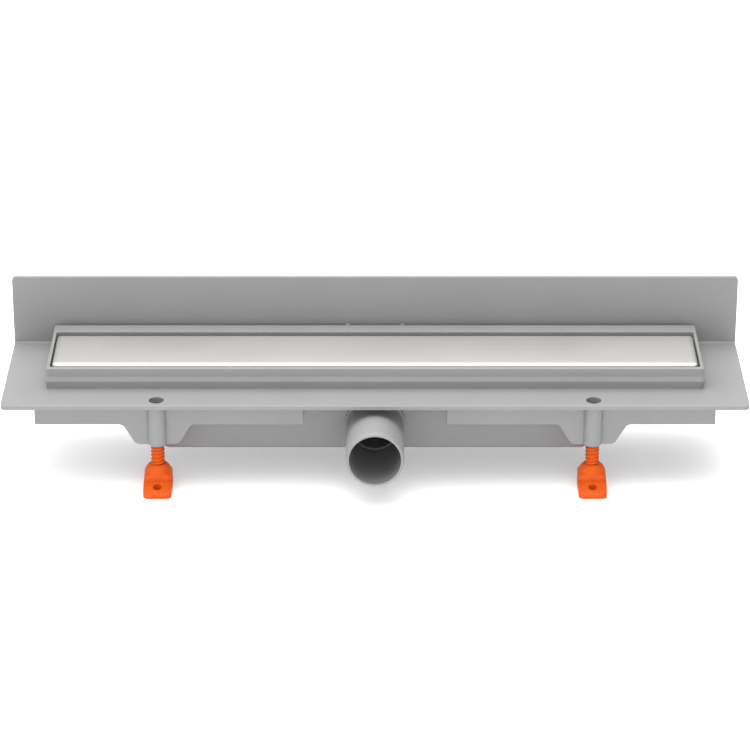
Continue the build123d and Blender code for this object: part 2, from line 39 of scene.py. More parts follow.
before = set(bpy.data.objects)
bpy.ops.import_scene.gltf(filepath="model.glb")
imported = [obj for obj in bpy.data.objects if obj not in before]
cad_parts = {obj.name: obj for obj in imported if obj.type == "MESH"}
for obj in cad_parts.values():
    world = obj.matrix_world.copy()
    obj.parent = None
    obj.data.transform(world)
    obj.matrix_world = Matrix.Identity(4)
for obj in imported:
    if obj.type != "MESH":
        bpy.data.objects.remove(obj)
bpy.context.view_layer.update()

# Lengths in metres
MM = 0.001
SAME_POINT = 1e-7
HAIR = 0.01 * MM

# How far a shape that cuts or joins runs past a face, in millimetres
OVERSHOOT = 1.0

# How much of a face's direction lies along an axis, for it to count as facing that way or as level
FACING = 0.9
LEVEL = 0.999

# Angles in degrees
CREASE_ANGLE = 50.0
SHEET_SMOOTHING = 40.0

# The values that a cloudy pattern mostly lies between
NOISE_LOW, NOISE_HIGH = 0.3, 0.7

Point = tuple[float, float, float]
Colour = tuple[float, float, float]
Profile = Sequence[tuple[float, float]]
log = logging.getLogger("shower_drain")


class Join(Enum):
    """How one closed shape acts on another."""

    ADD = "UNION"
    CUT = "DIFFERENCE"


class Part(Enum):
    """What a pick in edit mode selects: its list in the mesh, and the select mode's name."""

    FACES = ("faces", "FACE")
    EDGES = ("edges", "EDGE")
    POINTS = ("verts", "VERT")


class Side(Enum):
    """The two screw feet, by the side of the drain that they are on."""

    LEFT = "left"
    RIGHT = "right"


# Modelling steps


def take(piece: bpy.types.Object) -> bpy.types.Object:
    """Make a piece the only one selected, and the active one.

    Args:
        piece: The object to work on.

    Returns:
        The same object.
    """
    if bpy.context.object and bpy.context.object.mode != "OBJECT":
        bpy.ops.object.mode_set(mode="OBJECT")
    bpy.ops.object.select_all(action="DESELECT")
    piece.select_set(True)
    bpy.context.view_layer.objects.active = piece
    return piece


@contextmanager
def shaping(piece: bpy.types.Object) -> Iterator[None]:
    """Hold a piece in edit mode, with nothing selected at first.

    Args:
        piece: The object to shape.

    Yields:
        Nothing; edit mode lasts as long as the block.
    """
    take(piece)
    bpy.ops.object.mode_set(mode="EDIT")
    bpy.ops.mesh.select_mode(type="VERT")
    bpy.ops.mesh.select_all(action="DESELECT")
    yield
    bpy.ops.object.mode_set(mode="OBJECT")


def start(name: str) -> bpy.types.Object:
    """Name the primitive that was just added, and put its place and size into its mesh.

    Args:
        name: The object's new name.

    Returns:
        The new object, at the origin, unturned and unscaled.
    """
    piece = take(bpy.context.object)
    bpy.ops.object.transform_apply(location=True, rotation=True, scale=True)
    piece.name = name
    piece.data.name = name
    return piece


def block(name: str, low: Sequence[float], high: Sequence[float]) -> bpy.types.Object:
    """Add a block.

    Args:
        name: The object's name.
        low: Its lowest corner, in metres.
        high: Its highest corner, in metres.

    Returns:
        The new object.
    """
    bpy.ops.object.select_all(action="DESELECT")
    centre = [(a + b) / 2 for a, b in zip(low, high)]
    size = [b - a for a, b in zip(low, high)]
    bpy.ops.mesh.primitive_cube_add(size=1, location=centre, scale=size)
    return start(name)


def turned(name: str, centre: Point, profile: Profile, sides: int = 64) -> bpy.types.Object:
    """Add a closed upright shape turned about an axis, drawn up from a disc ring by ring.

    Args:
        name: The object's name.
        centre: A point on the axis, which the profile's heights are measured from, in metres.
        profile: Radius and height of each ring, in millimetres, starting with the disc's.
        sides: How many sides the rings have.

    Returns:
        The new object.
    """
    bpy.ops.object.select_all(action="DESELECT")
    radius, height = profile[0]
    origin = Vector(centre)
    bpy.ops.mesh.primitive_circle_add(
        vertices=sides, radius=radius * MM, fill_type="NGON", location=origin + Vector((0, 0, height * MM))
    )
    piece = start(name)
    with shaping(piece):
        bpy.ops.mesh.select_all(action="SELECT")
        for wide, high in profile[1:]:
            draw_out((0, 0, (high - height) * MM))
            bpy.ops.transform.resize(value=(wide / radius, wide / radius, 1), center_override=origin)
            radius, height = wide, high
        turn_outwards()
    return piece


def draw_out(way: Point) -> None:
    """Extrude what is selected in edit mode.

    Args:
        way: How far it goes along X, Y and Z, in metres.
    """
    bpy.ops.mesh.extrude_region_move(TRANSFORM_OT_translate={"value": way})


def pick(piece: bpy.types.Object, part: Part, test: Callable[[object], bool]) -> None:
    """Select what passes a test, in edit mode, and nothing else.

    Args:
        piece: The object in edit mode.
        part: Whether faces, edges or points are picked.
        test: Says of each of them whether it is wanted.
    """
    items, mode = part.value
    bpy.ops.mesh.select_mode(type=mode)
    bpy.ops.mesh.select_all(action="DESELECT")
    mesh = bmesh.from_edit_mesh(piece.data)
    for item in getattr(mesh, items):
        if test(item):
            item.select_set(True)
    mesh.select_flush_mode()
    bmesh.update_edit_mesh(piece.data)


def is_upright(edge: bmesh.types.BMEdge) -> bool:
    """Say whether an edge rises by more than a millimetre.

    Args:
        edge: The edge.

    Returns:
        True where it does.
    """
    return abs((edge.verts[0].co - edge.verts[1].co).z) > MM


def is_above(edge: bmesh.types.BMEdge, height: float) -> bool:
    """Say whether an edge lies above a height.

    Args:
        edge: The edge.
        height: The height, in metres.

    Returns:
        True where both its ends do.
    """
    return all(v.co.z > height for v in edge.verts)


def round_picked(width: float, steps: int) -> None:
    """Round the picked edges.

    Args:
        width: How far the rounding reaches from each edge, in millimetres.
        steps: How many faces it has.
    """
    bpy.ops.mesh.bevel(offset=width * MM, segments=steps, affect="EDGES", clamp_overlap=False)


def turn_outwards() -> None:
    """Make every face of the piece in edit mode point outwards."""
    bpy.ops.mesh.select_all(action="SELECT")
    bpy.ops.mesh.remove_doubles(threshold=SAME_POINT)
    bpy.ops.mesh.normals_make_consistent(inside=False)


def apply(piece: bpy.types.Object, kind: str, **settings: object) -> None:
    """Put a modifier on a piece and apply it.

    Args:
        piece: The object.
        kind: The modifier's type.
        **settings: The modifier's own settings.
    """
    take(piece)
    modifier = piece.modifiers.new(kind.lower(), kind)
    for name, value in settings.items():
        setattr(modifier, name, value)
    bpy.ops.object.modifier_apply(modifier=modifier.name)


def join(piece: bpy.types.Object, tool: bpy.types.Object, how: Join) -> None:
    """Add a closed shape to a piece or cut it out, and clear the shape away.

    Args:
        piece: The object that stays.
        tool: The closed shape, which is used up.
        how: Whether it is added or cut out.
    """
    apply(piece, "BOOLEAN", operation=how.value, object=tool, solver="EXACT")
    bpy.data.objects.remove(tool)
    with shaping(piece):
        bpy.ops.mesh.select_all(action="SELECT")
        bpy.ops.mesh.fill_holes(sides=4)


def smooth(piece: bpy.types.Object, degrees: float) -> None:
    """Shade a piece smoothly, apart from edges sharper than an angle.

    Args:
        piece: The object.
        degrees: The sharpest angle that is still smoothed.
    """
    take(piece)
    bpy.ops.object.shade_smooth_by_angle(angle=math.radians(degrees))


def thicken(piece: bpy.types.Object, sheet: float, burr: float, steps: int) -> None:
    """Give an open folded sheet its thickness inwards, and take the burr off its cut edges.

    Args:
        piece: The open sheet, with its faces outwards.
        sheet: Its thickness, in millimetres.
        burr: The width taken off each cut edge, in millimetres.
        steps: How many faces each cut edge gets.
    """
    apply(piece, "SOLIDIFY", thickness=sheet * MM, offset=-1, use_even_offset=True)
    crease = math.radians(CREASE_ANGLE)
    apply(piece, "BEVEL", width=burr * MM, segments=steps, limit_method="ANGLE", angle_limit=crease)
    smooth(piece, SHEET_SMOOTHING)


def twin(piece: bpy.types.Object, name: str, shift: Point) -> bpy.types.Object:
    """Copy a piece with a mesh of its own, and move the copy's mesh.

    Args:
        piece: The finished first one.
        name: The copy's name.
        shift: How far the copy lies from it, in metres.

    Returns:
        The copy.
    """
    copy = piece.copy()
    copy.data = piece.data.copy()
    copy.name = copy.data.name = name
    copy.data.transform(Matrix.Translation(shift))
    bpy.context.scene.collection.objects.link(copy)
    return copy


# Finishes


class NodeSheet:
    """A material's node tree while a finish is being laid out in it."""

    def __init__(self, name: str) -> None:
        """Start a material that ends in one plain shader.

        Args:
            name: The material's name.
        """
        self.material = bpy.data.materials.new(name)
        self.material.use_nodes = True
        self.tree = self.material.node_tree
        self.tree.nodes.clear()
        output = self.add("ShaderNodeOutputMaterial")
        self.shader = self.add("ShaderNodeBsdfPrincipled")
        self.link(self.shader.outputs["BSDF"], output.inputs["Surface"])
        self.place = self.add("ShaderNodeTexCoord").outputs["Object"]

    def add(self, kind: str) -> bpy.types.Node:
        """Add a node of a kind and return it."""
        return self.tree.nodes.new(kind)

    def link(self, source: bpy.types.NodeSocket, target: bpy.types.NodeSocket) -> None:
        """Run one socket's value into another."""
        self.tree.links.new(source, target)

    def noise(self, sizes: Point, detail: float = 2.0, sharp: float = 0.5) -> bpy.types.NodeSocket:
        """Lay out a cloudy pattern.

        Args:
            sizes: The size of its blotches along X, Y and Z, in millimetres.
            detail: How many finer layers it has.
            sharp: How strong the finer layers are.

        Returns:
            The socket that gives a value around a half.
        """
        mapping = self.add("ShaderNodeMapping")
        mapping.inputs["Scale"].default_value = [1 / (size * MM) for size in sizes]
        texture = self.add("ShaderNodeTexNoise")
        texture.inputs["Scale"].default_value = 1.0
        texture.inputs["Detail"].default_value = detail
        texture.inputs["Roughness"].default_value = sharp
        self.link(self.place, mapping.inputs["Vector"])
        self.link(mapping.outputs["Vector"], texture.inputs["Vector"])
        return texture.outputs["Fac"]

    def between(self, value: bpy.types.NodeSocket, low: float, high: float) -> bpy.types.NodeSocket:
        """Stretch a pattern's usual values over a range.

        Args:
            value: The pattern.
            low: What its low values become.
            high: What its high values become.

        Returns:
            The stretched value's socket.
        """
        node = self.add("ShaderNodeMapRange")
        node.inputs["From Min"].default_value = NOISE_LOW
        node.inputs["From Max"].default_value = NOISE_HIGH
        node.inputs["To Min"].default_value = low
        node.inputs["To Max"].default_value = high
        self.link(value, node.inputs["Value"])
        return node.outputs["Result"]

    def tint(self, value: bpy.types.NodeSocket, dark: Colour, light: Colour) -> bpy.types.NodeSocket:
        """Turn a pattern into a colour between two.

        Args:
            value: The pattern.
            dark: The colour of its low values.
            light: The colour of its high values.

        Returns:
            The colour's socket.
        """
        node = self.add("ShaderNodeValToRGB")
        ends = node.color_ramp.elements
        ends[0].position, ends[1].position = NOISE_LOW, NOISE_HIGH
        ends[0].color, ends[1].color = (*dark, 1), (*light, 1)
        self.link(value, node.inputs["Fac"])
        return node.outputs["Color"]

    def relief(
        self, height: bpy.types.NodeSocket, depth: float, under: bpy.types.NodeSocket | None = None
    ) -> bpy.types.NodeSocket:
        """Turn a pattern into a relief of a real depth.

        Args:
            height: The pattern.
            depth: The relief's depth, in millimetres.
            under: Another relief that this one lies on.

        Returns:
            The socket that gives the surface's direction.
        """
        node = self.add("ShaderNodeBump")
        node.inputs["Strength"].default_value = 1.0
        node.inputs["Distance"].default_value = depth * MM
        self.link(height, node.inputs["Height"])
        if under is not None:
            self.link(under, node.inputs["Normal"])
        return node.outputs["Normal"]


def shade(colour: Colour, share: float) -> Colour:
    """Make a colour lighter or darker.

    Args:
        colour: The colour.
        share: The share of itself that is added, negative for darker.

    Returns:
        The new colour.
    """
    return tuple(min(1.0, max(0.0, value * (1 + share))) for value in colour)


@dataclass(frozen=True)
class MouldedPlastic:
    """A moulded plastic with a fine matt grain and faint flow marks."""

    name: str
    colour: Colour
    roughness: float = 0.5
    glossier: float = 0.05
    duller: float = 0.07
    mottle: float = 0.03
    mottle_size: Point = (60, 60, 40)
    grain_size: Point = (0.5, 0.5, 0.5)
    grain_depth: float = 0.006
    flow_size: Point = (90, 25, 25)
    flow_depth: float = 0.03
    shine: float = 0.5

    def material(self) -> bpy.types.Material:
        """Lay out the plastic's nodes.

        Returns:
            The material.
        """
        sheet = NodeSheet(self.name)
        cloud = sheet.noise(self.mottle_size, detail=3)
        grain = sheet.noise(self.grain_size, detail=3, sharp=0.6)
        flow = sheet.noise(self.flow_size, detail=1)
        dark, light = shade(self.colour, -self.mottle), shade(self.colour, self.mottle)
        surface = sheet.shader.inputs
        sheet.link(sheet.tint(cloud, dark, light), surface["Base Color"])
        gloss = sheet.between(grain, self.roughness - self.glossier, self.roughness + self.duller)
        sheet.link(gloss, surface["Roughness"])
        surface["Specular IOR Level"].default_value = self.shine
        ground = sheet.relief(flow, self.flow_depth)
        sheet.link(sheet.relief(grain, self.grain_depth, ground), surface["Normal"])
        return sheet.material


@dataclass(frozen=True)
class BrushedSteel:
    """Stainless sheet brushed along the drain."""

    name: str
    colour: Colour
    roughness: float = 0.36
    spread: float = 0.06
    spread_size: Point = (120, 45, 45)
    hair_size: Point = (70, 0.22, 0.22)
    hair_depth: float = 0.0012
    band_size: Point = (210, 2.5, 2.5)
    band_tone: float = 0.02

    def material(self) -> bpy.types.Material:
        """Lay out the steel's nodes.

        Returns:
            The material.
        """
        sheet = NodeSheet(self.name)
        hairs = sheet.noise(self.hair_size, detail=4, sharp=0.6)
        bands = sheet.noise(self.band_size, detail=2)
        cloud = sheet.noise(self.spread_size, detail=2)
        dark, light = shade(self.colour, -self.band_tone), shade(self.colour, self.band_tone)
        surface = sheet.shader.inputs
        surface["Metallic"].default_value = 1.0
        sheet.link(sheet.tint(bands, dark, light), surface["Base Color"])
        gloss = sheet.between(cloud, self.roughness - self.spread / 2, self.roughness + self.spread / 2)
        sheet.link(gloss, surface["Roughness"])
        sheet.link(sheet.relief(hairs, self.hair_depth), surface["Normal"])
        return sheet.material


@dataclass(frozen=True)
class Rubber:
    """Black rubber with a dusty bloom."""

    name: str
    colour: Colour
    roughness: float = 0.7
    glossier: float = 0.08
    duller: float = 0.12
    bloom: float = 0.8
    bloom_size: Point = (9, 9, 9)
    pore_size: Point = (0.3, 0.3, 0.3)
    pore_depth: float = 0.01

    def material(self) -> bpy.types.Material:
        """Lay out the rubber's nodes.

        Returns:
            The material.
        """
        sheet = NodeSheet(self.name)
        bloom = sheet.noise(self.bloom_size, detail=4)
        pores = sheet.noise(self.pore_size, detail=2)
        surface = sheet.shader.inputs
        sheet.link(sheet.tint(bloom, self.colour, shade(self.colour, self.bloom)), surface["Base Color"])
        gloss = sheet.between(bloom, self.roughness - self.glossier, self.roughness + self.duller)
        sheet.link(gloss, surface["Roughness"])
        sheet.link(sheet.relief(pores, self.pore_depth), surface["Normal"])
        return sheet.material


@dataclass(frozen=True)
class StudioPaper:
    """The plain pale table that the drain stands on, lit a little from inside as a light table is."""

    name: str
    colour: Colour
    cloud: float = 0.005
    cloud_size: Point = (400, 400, 400)
    glow: float = 0.22

    def material(self) -> bpy.types.Material:
        """Lay out the paper's nodes.

        Returns:
            The material.
        """
        sheet = NodeSheet(self.name)
        cloud = sheet.noise(self.cloud_size, detail=2)
        surface = sheet.shader.inputs
        sheet.link(sheet.tint(cloud, shade(self.colour, -self.cloud), self.colour), surface["Base Color"])
        surface["Roughness"].default_value = 1.0
        surface["Specular IOR Level"].default_value = 0.0
        surface["Emission Color"].default_value = (1, 1, 1, 1)
        surface["Emission Strength"].default_value = self.glow
        return sheet.material


BODY_PLASTIC = MouldedPlastic("grey_body_plastic", (0.213, 0.213, 0.213), roughness=0.5)
TRAP_PLASTIC = MouldedPlastic("grey_trap_plastic", (0.12, 0.123, 0.127), roughness=0.42)
STRAINER_PLASTIC = MouldedPlastic("grey_strainer_plastic", (0.10, 0.103, 0.107), roughness=0.45)
FOOT_PLASTIC = MouldedPlastic(
    "orange_foot_plastic", (0.54, 0.075, 0.004), roughness=0.42, mottle=0.02, grain_depth=0.003,
    flow_depth=0.01, shine=0.15,
)
COVER_STEEL = BrushedSteel("brushed_cover_steel", (0.605, 0.593, 0.572), roughness=0.45, spread=0.035)
BRACKET_STEEL = BrushedSteel("plain_bracket_steel", (0.62, 0.615, 0.605), roughness=0.3, hair_depth=0.0008)
PAD_RUBBER = Rubber("black_pad_rubber", (0.018, 0.018, 0.019))
SEAL_RUBBER = Rubber("black_seal_rubber", (0.012, 0.012, 0.013), roughness=0.55)
FLOOR_PAPER = StudioPaper("white_studio_paper", (0.85, 0.85, 0.85))


def dress(piece: bpy.types.Object, material: bpy.types.Material) -> None:
    """Give a piece one material all over.

    Args:
        piece: The object, whose own slots are filled where it has any.
        material: The finish.
    """
    if not piece.material_slots:
        piece.data.materials.append(material)
    for slot in piece.material_slots:
        slot.material = material


def dress_node(node: str, material: bpy.types.Material) -> None:
    """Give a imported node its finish; its shape is right as it is.

    Args:
        node: The node's name.
        material: The finish.
    """
    dress(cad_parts[node], material)
    log.info("%s: dressed", node)


def settle(
    piece: bpy.types.Object, body: str, material: bpy.types.Material, replaces: str
) -> None:
    """Dress a new piece, let it ride on its body and let it stand for its node.

    Args:
        piece: The finished object.
        body: The body that carries it.
        material: The finish.
        replaces: The node that it stands for.
    """
    dress(piece, material)
    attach(piece, body)
    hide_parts(replaces)
    log.info("%s: %d faces, rides on %s", piece.name, len(piece.data.polygons), body)


# Sub-assemblies


@dataclass
class DrainBody:
    """The grey moulding: flange, upstand, collar, trough, skirts, bosses and outlet."""

    node: str = "drain_body"

    def build(self) -> None:
        """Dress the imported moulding."""
        dress_node(self.node, BODY_PLASTIC.material())


@dataclass
class CoverPlate:
    """The stainless cover: one sheet with its four edges folded down."""

    sheet: float = 1.5
    bend: float = 3.3
    corner: float = 3.7
    bend_steps: int = 6
    margin: float = 0.6
    fields: int = 10
    burr: float = 0.12

    def build(self) -> None:
        """Fold the sheet from a block, and give it its thickness."""
        low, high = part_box("cover_plate")
        piece = block("cover_sheet", low, high)
        with shaping(piece):
            pick(piece, Part.FACES, lambda face: face.normal.z < -FACING)
            bpy.ops.mesh.delete(type="FACE")
            pick(piece, Part.EDGES, is_upright)
            round_picked(self.corner, self.bend_steps)
            pick(piece, Part.EDGES, lambda edge: is_above(edge, high.z - HAIR))
            round_picked(self.bend, self.bend_steps)
            pick(piece, Part.FACES, lambda face: face.normal.z > LEVEL)
            bpy.ops.mesh.inset(thickness=self.margin * MM)
            self.divide(low.x, high.x)
            turn_outwards()
        thicken(piece, self.sheet, self.burr, steps=1)
        settle(piece, "drain", COVER_STEEL.material(), "cover_plate")

    def divide(self, left: float, right: float) -> None:
        """Divide the long sheet across into short fields, so that its flat face mirrors evenly.

        Args:
            left: Where the sheet begins, along X, in metres.
            right: Where it ends.
        """
        for number in range(1, self.fields):
            across = left + (right - left) * number / self.fields
            bpy.ops.mesh.select_all(action="SELECT")
            bpy.ops.mesh.bisect(plane_co=(across, 0, 0), plane_no=(1, 0, 0), threshold=SAME_POINT)


@dataclass
class CoverBrackets:
    """The folded strips under the cover, with their rubber pads."""

    count: int = 4
    sheet: float = 1.5
    bend: float = 2.0
    bend_steps: int = 5
    foot: float = 11.0
    burr: float = 0.15
    pad_corner: float = 2.0
    pad_edge: float = 0.3

    def build(self) -> None:
        """Fold one strip and mould one pad, and set out their copies."""
        self.set_out("bracket", self.strip(), self.count, BRACKET_STEEL.material())
        self.set_out("pad", self.pad(), 2 * self.count, PAD_RUBBER.material())

    def set_out(
        self, kind: str, first: bpy.types.Object, count: int, material: bpy.types.Material
    ) -> None:
        """Copy a first piece to the place of each node of its kind, and clear it away.

        Args:
            kind: The kind's word in the names of pieces and nodes.
            first: The first piece, in the place of the first node.
            count: How many nodes there are.
            material: The finish.
        """
        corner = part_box(f"cover_{kind}_1")[0]
        for number in range(1, count + 1):
            node = f"cover_{kind}_{number}"
            piece = twin(first, f"{kind}_{number}", tuple(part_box(node)[0] - corner))
            settle(piece, "drain", material, node)
        bpy.data.objects.remove(first)

    def strip(self) -> bpy.types.Object:
        """Fold the first strip into a bridge with its feet turned in.

        Returns:
            The first strip, in its place.
        """
        low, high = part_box("cover_bracket_1")
        piece = block("bracket_first", low, high)
        with shaping(piece):
            pick(piece, Part.FACES, lambda face: abs(face.normal.x) > FACING or face.normal.z < -FACING)
            bpy.ops.mesh.delete(type="FACE")
            for at, inwards in ((low.y, 1), (high.y, -1)):
                pick(
                    piece,
                    Part.EDGES,
                    lambda edge: all(abs(v.co.y - at) < MM and v.co.z < low.z + MM for v in edge.verts),
                )
                draw_out((0, inwards * self.foot * MM, 0))
            pick(piece, Part.EDGES, lambda edge: len(edge.link_faces) == 2)
            round_picked(self.bend, self.bend_steps)
            turn_outwards()
        self.face_up(piece)
        thicken(piece, self.sheet, self.burr, steps=2)
        return piece

    def face_up(self, piece: bpy.types.Object) -> None:
        """Turn an open strip's faces outwards, by its highest face.

        Args:
            piece: The open strip.
        """
        top = max(piece.data.polygons, key=lambda face: face.center.z)
        if top.normal.z < 0:
            with shaping(piece):
                bpy.ops.mesh.select_all(action="SELECT")
                bpy.ops.mesh.flip_normals()

    def pad(self) -> bpy.types.Object:
        """Mould the first pad, with rounded corners and softened edges.

        Returns:
            The first pad, in its place.
        """
        low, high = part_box("cover_pad_1")
        piece = block("pad_first", low, high)
        with shaping(piece):
            pick(piece, Part.EDGES, is_upright)
            round_picked(self.pad_corner, steps=4)
            pick(piece, Part.EDGES, lambda edge: len({v.co.z for v in edge.verts}) == 1)
            round_picked(self.pad_edge, steps=2)
            turn_outwards()
        smooth(piece, SHEET_SMOOTHING)
        return piece


@dataclass
class OdourTrap:
    """The lift-out trap in the sump: housing, lid with dip plate, strainer and seals."""

    plastic_nodes: Sequence[str] = ("trap_housing", "trap_baffle")
    strainer_node: str = "hair_strainer"
    seal_nodes: Sequence[str] = ("outlet_seal", "baffle_seal")

    def build(self) -> None:
        """Dress the trap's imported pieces."""
        for nodes, material in (
            (self.plastic_nodes, TRAP_PLASTIC.material()),
            ((self.strainer_node,), STRAINER_PLASTIC.material()),
            (self.seal_nodes, SEAL_RUBBER.material()),
        ):
            for node in nodes:
                dress_node(node, material)


@dataclass
class ScrewFoot:
    """One orange foot and its spindle, which screws up and down in a boss."""

    side: Side

    # The spindle: shank with its thread, neck, head and driver slot
    crest: float = 5.9
    groove: float = 1.25
    pitch: float = 3.5
    thread_form: Profile = (
        (0.0, 0.0), (0.06, 0.0), (0.14, 0.2), (0.28, 0.82), (0.36, 1.0),
        (0.62, 1.0), (0.70, 0.82), (0.84, 0.2), (0.92, 0.0), (1.0, 0.0),
    )
    thread_sides: int = 40
    thread_seam: float = 0.001
    thread_smoothing: float = 42.0
    shank_start: float = 22.3
    shank_top: float = 63.0
    lead_in_radius: float = 4.3
    lead_in_depth: float = 1.2
    lead_in_play: float = 0.2
    lead_in_reach: float = 9.0
    neck: float = 3.4
    head: float = 4.8
    head_floor: float = 7.0
    head_length: float = 8.0
    head_edge: float = 0.8
    slot_width: float = 1.6
    slot_depth: float = 2.5
    slot_reach: float = 9.0

    # The foot: bell, the rounded square under it, base plate, socket and screw hole
    rings: Profile = (
        (11.6, 0.0), (12.1, 0.6), (12.1, 12.4), (11.9, 14.2), (11.5, 15.9), (10.8, 17.6),
        (9.9, 19.1), (8.8, 20.4), (7.8, 21.3), (7.0, 21.8), (6.5, 21.95), (6.2, 22.0),
    )
    mouth: float = 22.0
    mouth_radius: float = 4.6
    mouth_depth: float = 0.6
    mouth_rise: float = 0.4
    head_play: float = 0.15
    neck_play: float = 0.5
    neck_slope: float = 1.0
    bell: float = 12.1
    square_height: float = 15.0
    square_corner: float = 5.0
    square_edge: float = 3.5
    square_play: float = 0.05
    square_lift: float = 0.2
    reach: float = 27.0
    slope_start: float = 12.0
    back_height: float = 9.0
    front_height: float = 4.2
    plate_corner: float = 4.5
    plate_edge: float = 0.6
    hole: float = 3.6
    hole_reach: float = 18.0
    hole_flare: float = 0.3
    foot_smoothing: float = 35.0

    def axis(self) -> Point:
        """Return the point on the floor under the spindle."""
        low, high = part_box(f"spindle_{self.side.value}")
        return ((low.x + high.x) / 2, (low.y + high.y) / 2, 0.0)

    def build(self) -> None:
        """Build the foot and the spindle."""
        plastic = FOOT_PLASTIC.material()
        foot, spindle = f"foot_{self.side.value}", f"spindle_{self.side.value}"
        settle(self.moulded_foot(), foot, plastic, foot)
        settle(self.threaded_spindle(), spindle, plastic, spindle)

    def moulded_foot(self) -> bpy.types.Object:
        """Mould the bell on its sloping base plate, with the socket and the screw hole.

        Returns:
            The foot, in its place.
        """
        centre = self.axis()
        piece = turned(f"screw_foot_{self.side.value}", centre, self.rings)
        join(piece, self.base_plate(centre), Join.ADD)
        join(piece, self.bell_foot(centre), Join.ADD)
        join(piece, self.socket(centre), Join.CUT)
        join(piece, self.screw_hole(centre), Join.CUT)
        smooth(piece, self.foot_smoothing)
        return piece

    def socket(self, centre: Point) -> bpy.types.Object:
        """Shape the hollow that holds the spindle's head and lets its neck out at the mouth.

        Args:
            centre: The point on the floor under the spindle.

        Returns:
            The hollow, as a closed shape to cut with.
        """
        wide, narrow = self.head + self.head_play, self.neck + self.neck_play
        shoulder = self.head_floor + self.head_length
        profile = (
            (wide, self.head_floor - self.head_play), (wide, shoulder), (narrow, shoulder + self.neck_slope),
            (narrow, self.mouth - self.mouth_depth), (self.mouth_radius, self.mouth + self.mouth_rise),
        )
        return turned("socket", centre, profile, sides=48)

    def screw_hole(self, centre: Point) -> bpy.types.Object:
        """Shape the hole for the screw that holds the foot to the floor.

        Args:
            centre: The point on the floor under the spindle.

        Returns:
            The hole, as a closed shape to cut with.
        """
        x, y, z = centre
        flare = self.hole_flare
        profile = ((self.hole + flare, -OVERSHOOT), (self.hole, flare), (self.hole, self.back_height))
        return turned("screw_hole", (x, y - self.hole_reach * MM, z), profile, sides=40)

    def base_plate(self, centre: Point) -> bpy.types.Object:
        """Shape the base plate, which slopes down to its rounded front.

        Args:
            centre: The point on the floor under the spindle.

        Returns:
            The base plate, as a closed shape.
        """
        x, y, z = centre
        half, front, drop = self.bell * MM, y - self.reach * MM, self.front_height - self.back_height
        piece = block("base_plate", (x - half, front, z), (x + half, y, z + self.back_height * MM))
        with shaping(piece):
            bpy.ops.mesh.select_all(action="SELECT")
            bpy.ops.mesh.bisect(plane_co=(x, y - self.slope_start * MM, z), plane_no=(0, 1, 0))
            pick(piece, Part.POINTS, lambda v: v.co.y < front + MM and v.co.z > z + MM)
            bpy.ops.transform.translate(value=(0, 0, drop * MM))
            pick(
                piece,
                Part.EDGES,
                lambda edge: is_upright(edge) and all(v.co.y < front + MM for v in edge.verts),
            )
            round_picked(self.plate_corner, steps=8)
            pick(
                piece,
                Part.EDGES,
                lambda edge: len(edge.link_faces) == 2
                and all(v.co.y < y - MM for v in edge.verts)
                and is_above(edge, z + self.front_height * MM - HAIR)
                and edge.calc_face_angle(0) > math.radians(CREASE_ANGLE),
            )
            round_picked(self.plate_edge, steps=3)
            turn_outwards()
        return piece

    def bell_foot(self, centre: Point) -> bpy.types.Object:
        """Shape the rounded square that the bell stands on, flat towards the base plate's slope.

        Args:
            centre: The point on the floor under the spindle.

        Returns:
            The bell's foot, as a closed shape.
        """
        x, y, z = centre
        half, top = (self.bell - self.square_play) * MM, z + self.square_height * MM
        low = (x - half, y - half, z + self.square_lift * MM)
        piece = block("bell_foot", low, (x + half, y + half, top))
        with shaping(piece):
            pick(piece, Part.EDGES, is_upright)
            round_picked(self.square_corner, steps=6)
            pick(piece, Part.EDGES, lambda edge: is_above(edge, top - HAIR))
            round_picked(self.square_edge, steps=5)
            turn_outwards()
        return piece

    def threaded_spindle(self) -> bpy.types.Object:
        """Cut the coarse rounded thread, and add the neck, the head and the driver slot.

        Returns:
            The spindle, in its place.
        """
        x, y, z = centre = self.axis()
        piece = self.endless_thread()
        piece.data.transform(Matrix.Translation((x, y, z + (self.shank_start - self.pitch) * MM)))
        with shaping(piece):
            for height, side in ((self.shank_start, -1), (self.shank_top, 1)):
                bpy.ops.mesh.select_all(action="SELECT")
                bpy.ops.mesh.bisect(
                    plane_co=(x, y, z + height * MM),
                    plane_no=(0, 0, side),
                    use_fill=True,
                    clear_outer=True,
                    threshold=SAME_POINT,
                )
            turn_outwards()
        join(piece, self.lead_in(centre), Join.CUT)
        join(piece, self.neck_and_head(centre), Join.ADD)
        join(piece, self.driver_slot(centre), Join.CUT)
        smooth(piece, self.thread_smoothing)
        return piece

    def endless_thread(self) -> bpy.types.Object:
        """Wind one turn's outline up the shank, a turn past each end.

        Returns:
            The thread's open skin about the Z axis.
        """
        bpy.ops.object.select_all(action="DESELECT")
        bpy.ops.mesh.primitive_plane_add(size=1 * MM, location=((self.crest - self.groove) * MM, 0, 0))
        piece = start(f"screw_spindle_{self.side.value}")
        with shaping(piece):
            bpy.ops.mesh.select_all(action="SELECT")
            bpy.ops.mesh.merge(type="CENTER")
            for (low, root), (high, crown) in zip(self.thread_form, self.thread_form[1:]):
                draw_out(((crown - root) * self.groove * MM, 0, (high - low) * self.pitch * MM))
        apply(
            piece,
            "SCREW",
            angle=2 * math.pi,
            screw_offset=self.pitch * MM,
            iterations=math.ceil((self.shank_top - self.shank_start) / self.pitch) + 2,
            steps=self.thread_sides,
            render_steps=self.thread_sides,
            use_merge_vertices=True,
            merge_threshold=self.thread_seam * MM,
        )
        return piece

